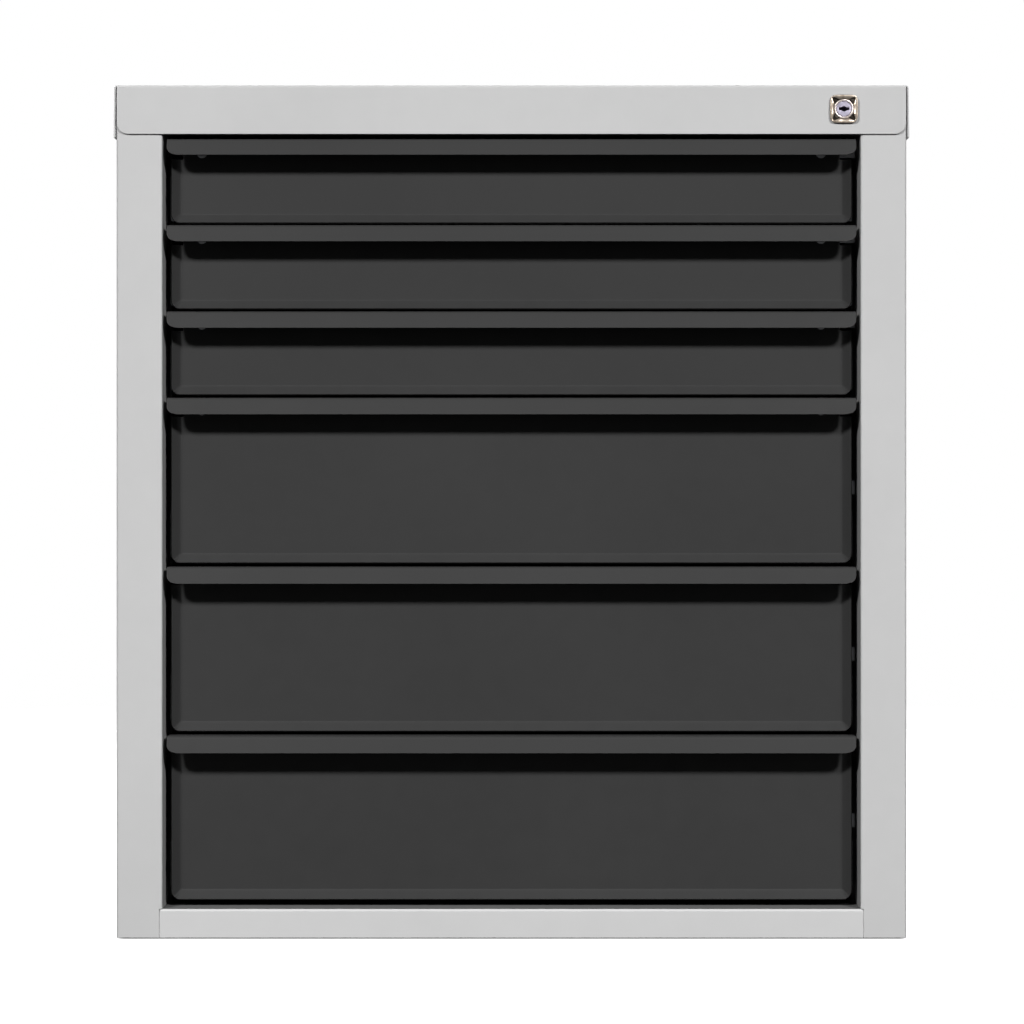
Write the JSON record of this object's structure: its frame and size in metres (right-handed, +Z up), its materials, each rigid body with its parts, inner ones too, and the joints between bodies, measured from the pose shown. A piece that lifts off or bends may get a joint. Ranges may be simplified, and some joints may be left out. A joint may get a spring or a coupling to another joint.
{
  "type": "drawer cabinet",
  "caption": "Free-standing folded steel drawer cabinet with full-width lip handles, telescopic drawer slides and a central cylinder lock.",
  "frame": {"origin": "bottom centre of the whole cabinet, on the floor it stands on", "axes": "+Z up, the drawer fronts face -Y and open towards -Y, +X to the right of someone facing the drawers"},
  "size_m": [0.581, 0.5552, 0.6225],
  "materials": {
    "casing_paint": "fine textured light grey powder coat",
    "drawer_paint": "fine textured anthracite powder coat",
    "slide_steel": "bright zinc plated rolled steel",
    "zinc_sheet": "zinc plated sheet",
    "zinc_fasteners": "zinc plated",
    "nickel_plate": "polished nickel plate"
  },
  "bodies": {
    "casing": {"top_cover": "casing_paint", "left_side_panel": "casing_paint", "right_side_panel": "casing_paint", "back_panel": "casing_paint", "bottom_panel": "casing_paint", "base_rail": "casing_paint", "top_rail": "casing_paint", "left_front_upright": "casing_paint", "right_front_upright": "casing_paint", "left_rear_upright": "casing_paint", "right_rear_upright": "casing_paint", "rail_screws": "zinc_fasteners", "back_rivets": "zinc_fasteners", "cover_nuts": "zinc_fasteners", "lock_bezel": "nickel_plate", "lock_housing": "nickel_plate", "lock_nut": "zinc_fasteners", "bar_guide_studs": "zinc_fasteners", "drawer_1_cabinet_rails": "slide_steel", "drawer_2_cabinet_rails": "slide_steel", "drawer_3_cabinet_rails": "slide_steel", "drawer_4_cabinet_rails": "slide_steel", "drawer_5_cabinet_rails": "slide_steel", "drawer_6_cabinet_rails": "slide_steel"},
    "drawer_1": {"drawer_1_front": "drawer_paint", "drawer_1_box": "drawer_paint", "drawer_1_inner_rails": "slide_steel", "drawer_1_rivets": "zinc_fasteners"},
    "drawer_1_slides": {"drawer_1_middle_rails": "slide_steel"},
    "drawer_2": {"drawer_2_front": "drawer_paint", "drawer_2_box": "drawer_paint", "drawer_2_inner_rails": "slide_steel", "drawer_2_rivets": "zinc_fasteners"},
    "drawer_2_slides": {"drawer_2_middle_rails": "slide_steel"},
    "drawer_3": {"drawer_3_front": "drawer_paint", "drawer_3_box": "drawer_paint", "drawer_3_inner_rails": "slide_steel", "drawer_3_rivets": "zinc_fasteners"},
    "drawer_3_slides": {"drawer_3_middle_rails": "slide_steel"},
    "drawer_4": {"drawer_4_front": "drawer_paint", "drawer_4_box": "drawer_paint", "drawer_4_inner_rails": "slide_steel", "drawer_4_rivets": "zinc_fasteners"},
    "drawer_4_slides": {"drawer_4_middle_rails": "slide_steel"},
    "drawer_5": {"drawer_5_front": "drawer_paint", "drawer_5_box": "drawer_paint", "drawer_5_inner_rails": "slide_steel", "drawer_5_rivets": "zinc_fasteners"},
    "drawer_5_slides": {"drawer_5_middle_rails": "slide_steel"},
    "drawer_6": {"drawer_6_front": "drawer_paint", "drawer_6_box": "drawer_paint", "drawer_6_inner_rails": "slide_steel", "drawer_6_rivets": "zinc_fasteners"},
    "drawer_6_slides": {"drawer_6_middle_rails": "slide_steel"},
    "lock_plug_and_crank": {"lock_plug": "nickel_plate", "lock_crank": "zinc_fasteners", "crank_screw": "zinc_fasteners"},
    "locking_bar": {"locking_bar": "zinc_sheet"}
  },
  "joints": [
    {"name": "drawer_1_pull", "type": "slide", "parent": "casing", "child": "drawer_1", "axis": [0, -1, 0], "range_m": [0, 0.45]},
    {"name": "drawer_1_slides_run", "type": "slide", "parent": "casing", "child": "drawer_1_slides", "axis": [0, -1, 0], "range_m": [0, 0.225]},
    {"name": "drawer_2_pull", "type": "slide", "parent": "casing", "child": "drawer_2", "axis": [0, -1, 0], "range_m": [0, 0.45]},
    {"name": "drawer_2_slides_run", "type": "slide", "parent": "casing", "child": "drawer_2_slides", "axis": [0, -1, 0], "range_m": [0, 0.225]},
    {"name": "drawer_3_pull", "type": "slide", "parent": "casing", "child": "drawer_3", "axis": [0, -1, 0], "range_m": [0, 0.45]},
    {"name": "drawer_3_slides_run", "type": "slide", "parent": "casing", "child": "drawer_3_slides", "axis": [0, -1, 0], "range_m": [0, 0.225]},
    {"name": "drawer_4_pull", "type": "slide", "parent": "casing", "child": "drawer_4", "axis": [0, -1, 0], "range_m": [0, 0.45]},
    {"name": "drawer_4_slides_run", "type": "slide", "parent": "casing", "child": "drawer_4_slides", "axis": [0, -1, 0], "range_m": [0, 0.225]},
    {"name": "drawer_5_pull", "type": "slide", "parent": "casing", "child": "drawer_5", "axis": [0, -1, 0], "range_m": [0, 0.45]},
    {"name": "drawer_5_slides_run", "type": "slide", "parent": "casing", "child": "drawer_5_slides", "axis": [0, -1, 0], "range_m": [0, 0.225]},
    {"name": "drawer_6_pull", "type": "slide", "parent": "casing", "child": "drawer_6", "axis": [0, -1, 0], "range_m": [0, 0.45]},
    {"name": "drawer_6_slides_run", "type": "slide", "parent": "casing", "child": "drawer_6_slides", "axis": [0, -1, 0], "range_m": [0, 0.225]},
    {"name": "key_turn", "type": "hinge", "parent": "casing", "child": "lock_plug_and_crank", "pos_m": [0.2425, -0.2739, 0.605], "axis": [0, 1, 0], "range_deg": [0, 90]},
    {"name": "locking_bar_drop", "type": "slide", "parent": "casing", "child": "locking_bar", "axis": [0, 0, -1], "range_m": [0, 0.0099]}
  ],
  "couplings": [
    {"joint": "drawer_1_slides_run", "follows": "drawer_1_pull", "ratio": 0.5},
    {"joint": "drawer_2_slides_run", "follows": "drawer_2_pull", "ratio": 0.5},
    {"joint": "drawer_3_slides_run", "follows": "drawer_3_pull", "ratio": 0.5},
    {"joint": "drawer_4_slides_run", "follows": "drawer_4_pull", "ratio": 0.5},
    {"joint": "drawer_5_slides_run", "follows": "drawer_5_pull", "ratio": 0.5},
    {"joint": "drawer_6_slides_run", "follows": "drawer_6_pull", "ratio": 0.5},
    {"joint": "key_turn", "follows": "locking_bar_drop", "rad_per_m": 158.66}
  ]
}
